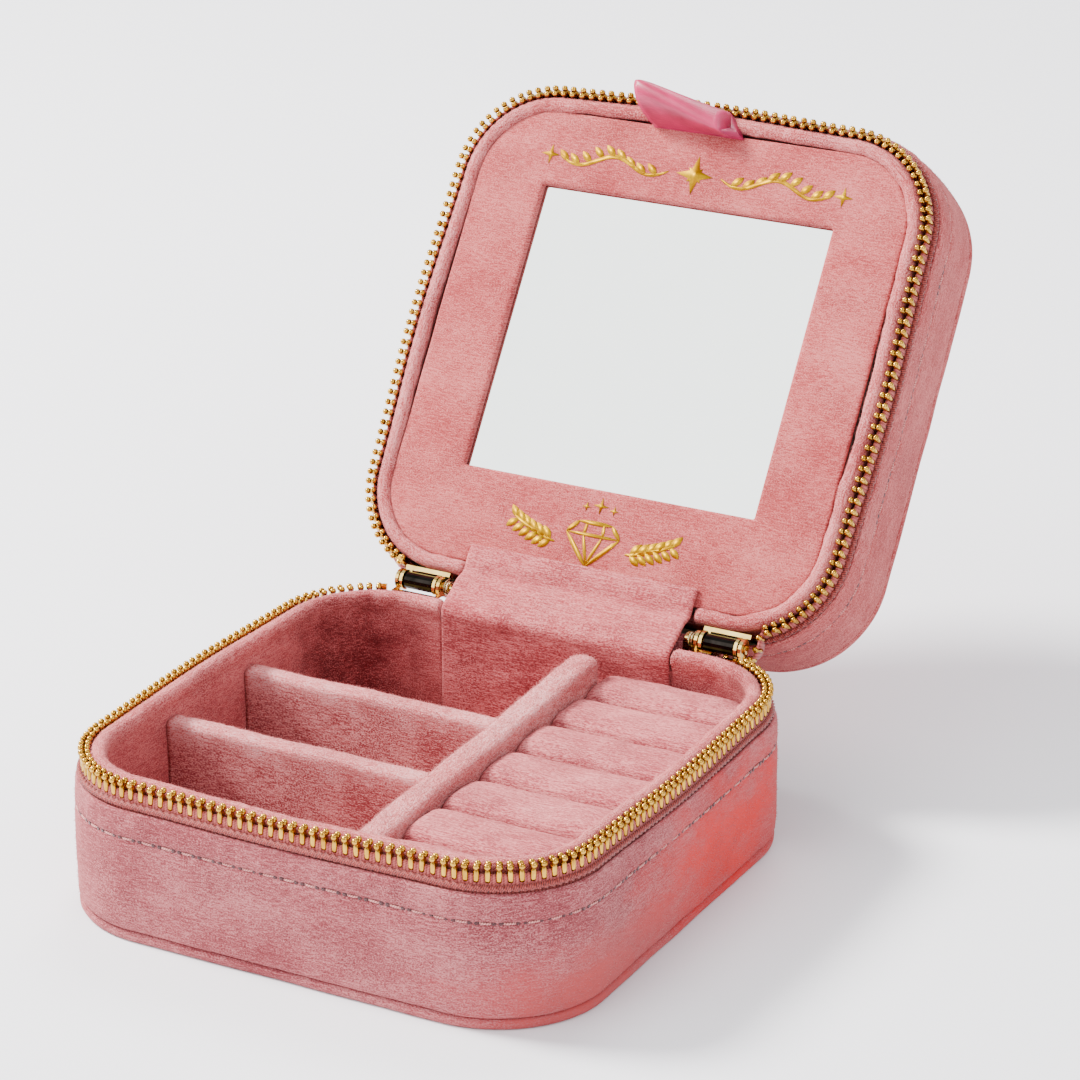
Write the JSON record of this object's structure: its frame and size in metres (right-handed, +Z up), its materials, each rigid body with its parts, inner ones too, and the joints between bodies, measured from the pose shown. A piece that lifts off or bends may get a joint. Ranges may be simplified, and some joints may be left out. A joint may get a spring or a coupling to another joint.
{
  "type": "travel jewelry case",
  "caption": "Small square velvet jewelry box with rounded corners, a zip-around edge, a hinged mirror lid, divided trays and ring rolls.",
  "frame": {"origin": "centre of the base's bottom face, on the surface that the case stands on", "axes": "+Z up, +Y towards the hinge, +X to the right seen from the open front"},
  "size_m": [0.1, 0.1759, 0.1155],
  "materials": {
    "outer_velvet": "dusty rose velvet with a short directional nap",
    "lining_velvet": "dusty rose velvet lining",
    "zip_tape": "woven zipper tape with a corded edge",
    "zip_brass": "polished gold",
    "hinge_brass": "polished pale gold plate",
    "spring_steel": "drawn wire",
    "dark_steel": "dark plated steel",
    "mirror": "silvered glass",
    "satin_ribbon": "single-face satin",
    "greyboard": "pressed grey board, hidden"
  },
  "bodies": {
    "base": {"base_bottom_panel": "outer_velvet", "base_outer_wall": "outer_velvet", "base_wall_board": "greyboard", "base_zip_tape": "zip_tape", "base_zip_teeth": "zip_brass", "base_liner": "lining_velvet", "base_floor_pad": "lining_velvet", "centre_divider": "lining_velvet", "cross_divider_front": "lining_velvet", "cross_divider_rear": "lining_velvet", "ring_roll_1": "lining_velvet", "ring_roll_2": "lining_velvet", "ring_roll_3": "lining_velvet", "ring_roll_4": "lining_velvet", "ring_roll_5": "lining_velvet", "ring_roll_6": "lining_velvet", "ring_roll_7": "lining_velvet", "spine_lining": "lining_velvet", "spine_outer": "outer_velvet", "hinge_base_leaf_right": "hinge_brass", "hinge_base_leaf_left": "hinge_brass", "hinge_pin_right": "spring_steel", "hinge_pin_left": "spring_steel", "hinge_drum_right": "dark_steel", "hinge_drum_left": "dark_steel", "hinge_spring_right": "spring_steel", "hinge_spring_left": "spring_steel", "zip_top_stop_base": "zip_brass"},
    "lid": {"lid_top_panel": "outer_velvet", "lid_outer_wall": "outer_velvet", "lid_wall_board": "greyboard", "lid_zip_tape": "zip_tape", "lid_zip_teeth": "zip_brass", "lid_liner": "lining_velvet", "lid_ceiling_pad": "lining_velvet", "lid_panel_ledge": "greyboard", "mirror_frame": "lining_velvet", "mirror_glass": "mirror", "mirror_backing_board": "greyboard", "ribbon_pull": "satin_ribbon", "hinge_lid_leaf_right": "hinge_brass", "hinge_lid_leaf_left": "hinge_brass", "zip_top_stop_lid": "zip_brass"},
    "zip_tail": {"zip_tail_chain": "zip_brass", "zip_bottom_stop": "zip_brass"},
    "zip_slider": {"zip_slider": "zip_brass"},
    "zip_pull": {"zip_pull": "zip_brass"}
  },
  "joints": [
    {"name": "lid_hinge", "type": "hinge", "parent": "base", "child": "lid", "pos_m": [0, 0.0503, 0.0295], "axis": [1, 0, 0], "range_deg": [0, 124], "deforming": ["spine_lining", "spine_outer", "ribbon_pull", "hinge_spring_right", "hinge_spring_left"]},
    {"name": "zip_tail_swing", "type": "hinge", "parent": "base", "child": "zip_tail", "pos_m": [0, 0.0503, 0.0295], "axis": [1, 0, 0], "range_deg": [0, 62]},
    {"name": "slider_travel", "type": "slide", "parent": "zip_tail", "child": "zip_slider", "axis": [1, 0, 0], "range_m": [0, 0.006]},
    {"name": "pull_swing", "type": "hinge", "parent": "zip_slider", "child": "zip_pull", "pos_m": [0.0245, 0.05375, 0.02301], "axis": [0, 0.8829, 0.4695], "range_deg": [-85, 85]}
  ],
  "couplings": [
    {"joint": "zip_tail_swing", "follows": "lid_hinge", "ratio": 0.5}
  ]
}
